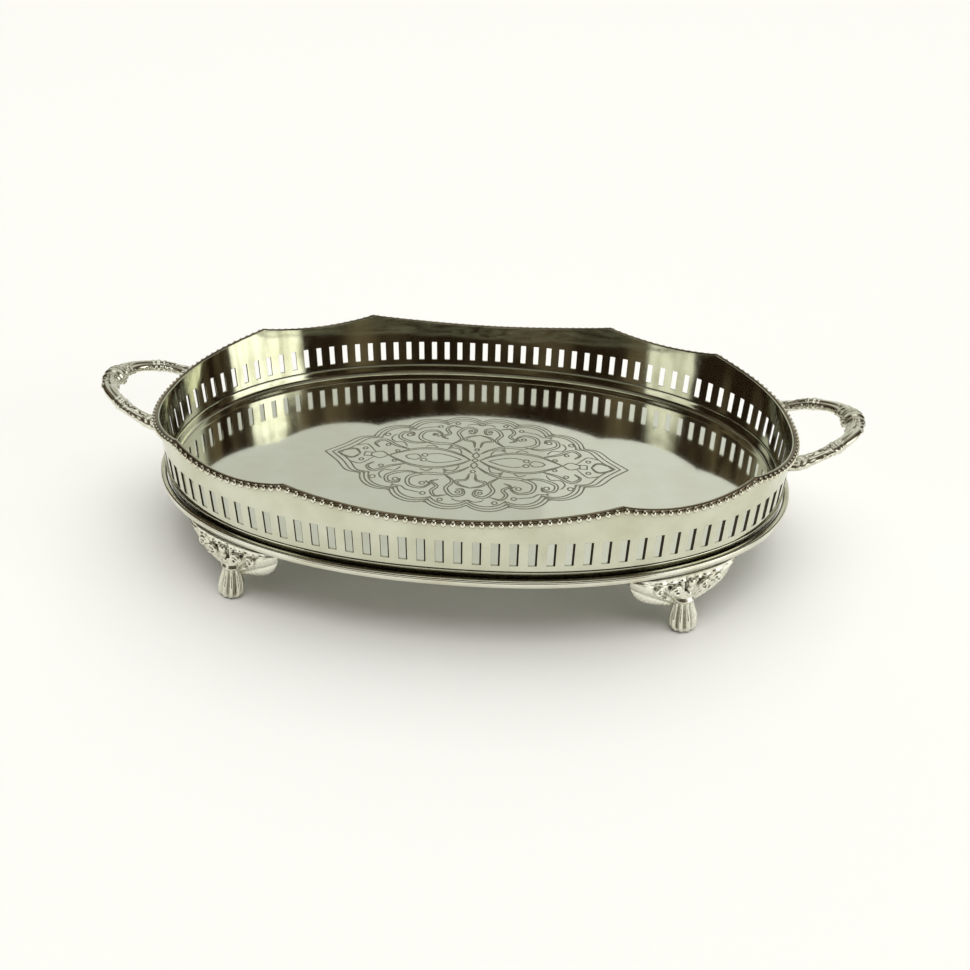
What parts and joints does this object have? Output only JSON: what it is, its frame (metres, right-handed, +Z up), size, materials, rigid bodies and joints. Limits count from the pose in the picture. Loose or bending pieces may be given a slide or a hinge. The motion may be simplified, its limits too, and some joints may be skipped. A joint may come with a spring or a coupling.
{
  "type": "serving tray",
  "caption": "Oval footed gallery serving tray with a pierced scalloped wall, beaded rim, loop handles and an engraved floor, for carrying and presenting food and drink.",
  "frame": {"origin": "on the table, under the middle of the tray", "axes": "+X towards the right-hand handle, -Y the front long side, +Z up"},
  "size_m": [0.489, 0.277, 0.0903],
  "materials": {
    "polished_silver": "mirror-polished silver plate, faintly warm, with fine hand-polishing marks",
    "wall_silver": "mirror-polished silver plate on thin sheet, slightly rippled, darker in the pierced slots",
    "bead_silver": "polished silver plate with light tarnish between the beads",
    "cast_silver": "silver-plated casting, bright on the high points and tarnished in the recesses"
  },
  "bodies": {
    "root": {"tray_base_pan": "polished_silver", "base_edge_wire": "polished_silver", "gallery_wall_front": "wall_silver", "gallery_wall_back": "wall_silver", "rim_bead_wire_front": "bead_silver", "rim_bead_wire_back": "bead_silver", "handle_left": "cast_silver", "handle_right": "cast_silver", "foot_front_left": "cast_silver", "foot_front_right": "cast_silver", "foot_back_left": "cast_silver", "foot_back_right": "cast_silver"}
  },
  "joints": []
}
